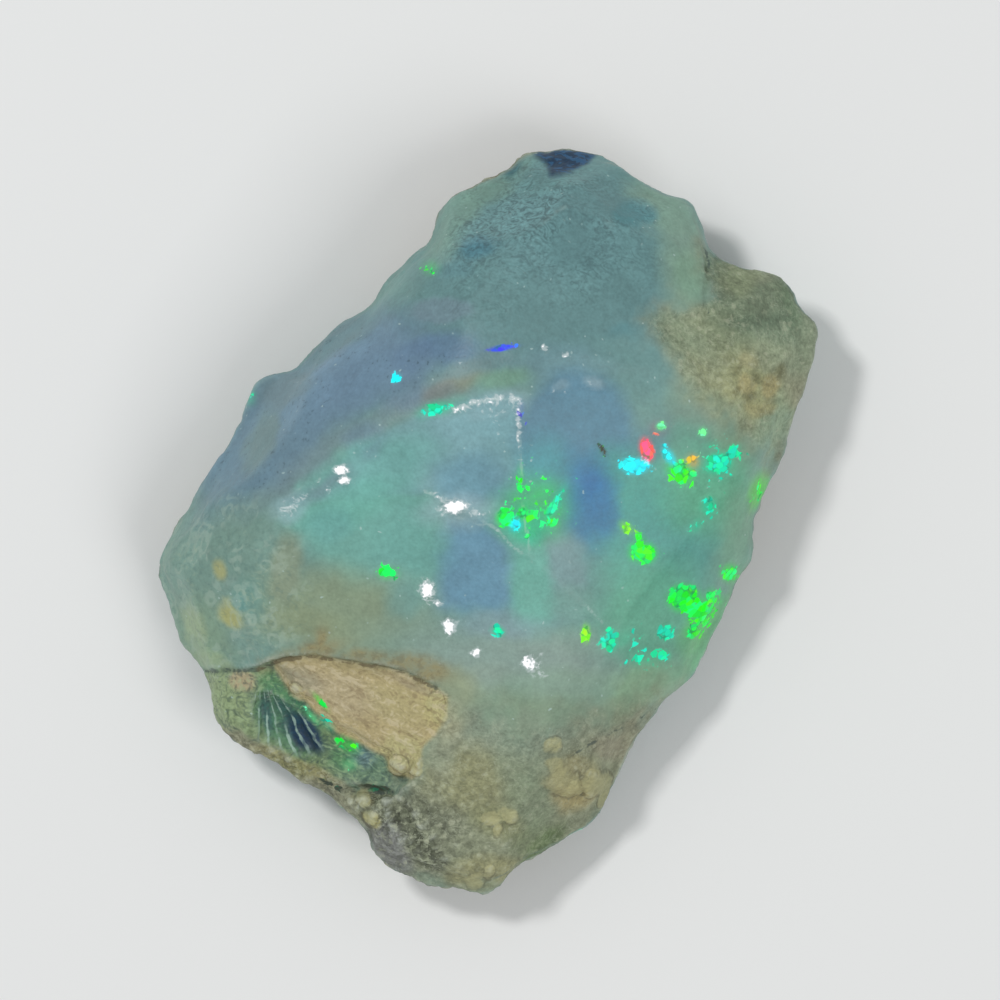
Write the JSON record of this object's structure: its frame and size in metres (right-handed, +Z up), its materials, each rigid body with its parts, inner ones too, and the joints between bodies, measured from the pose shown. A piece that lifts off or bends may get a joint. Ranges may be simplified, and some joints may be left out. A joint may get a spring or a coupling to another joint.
{
  "type": "rough fire opal",
  "caption": "Rough fire opal, a broken and uncut piece of milky blue-green precious opal with tan host rock, lying on its flattest break.",
  "frame": {"origin": "on the surface the stone rests on, under the middle of its bounding box", "axes": "+X across the stone's width, +Y along its length towards the glassy chip at the far end, +Z up"},
  "size_m": [0.0226, 0.0252, 0.0087],
  "materials": {
    "opal": "glossy where the opal is broken clean, matt and granular where host rock is left on it"
  },
  "bodies": {
    "root": {"rough_opal": "opal"}
  },
  "joints": []
}
